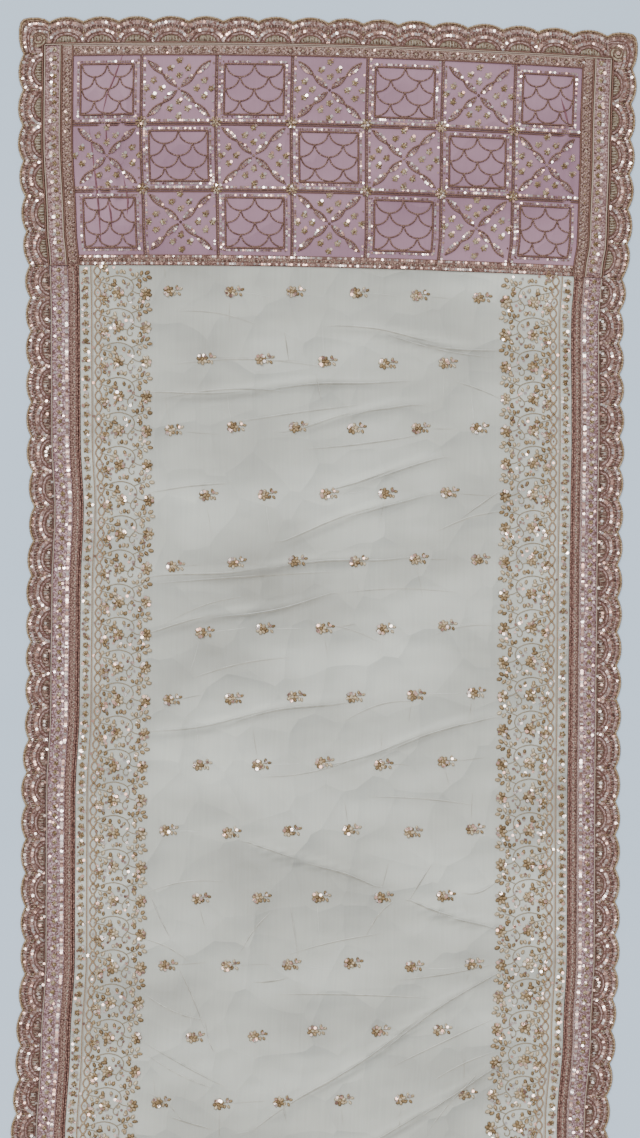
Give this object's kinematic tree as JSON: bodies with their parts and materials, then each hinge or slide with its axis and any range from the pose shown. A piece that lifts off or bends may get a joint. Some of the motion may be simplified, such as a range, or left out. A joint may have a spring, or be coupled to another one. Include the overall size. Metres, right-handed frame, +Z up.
{
  "type": "net saree laid flat",
  "caption": "Net saree laid out flat, face up: ecru net body, mauve net pallu, scalloped corded lace, braids and sequin embroidery.",
  "frame": {"origin": "centre of the bounding box's underside, on the floor under the cloth", "axes": "+Z up out of the embroidered face, +Y along the cloth towards the pallu end, +X across it to the right when seen from above with the pallu at the top"},
  "size_m": [1.2108, 5.5038, 0.0102],
  "materials": {
    "net": "fine semi-sheer ecru net",
    "mauve_net": "fine mauve net with metallic thread embroidery",
    "lace": "corded lace in copper, olive gold and mauve thread with clear sequins",
    "braid": "dense copper and mauve metallic braid"
  },
  "bodies": {
    "root": {"net_body": "net", "pallu_panel": "mauve_net", "lace_left": "lace", "pallu_lace_left": "lace", "corner_fan_left": "lace", "dot_band_left": "mauve_net", "pallu_dot_band_left": "mauve_net", "braid_left": "braid", "pallu_braid_left": "braid", "lace_right": "lace", "pallu_lace_right": "lace", "corner_fan_right": "lace", "dot_band_right": "mauve_net", "pallu_dot_band_right": "mauve_net", "braid_right": "braid", "pallu_braid_right": "braid", "lace_end": "lace", "pallu_braid_end": "braid", "pallu_foot_band": "braid", "end_hem": "net"}
  },
  "joints": []
}
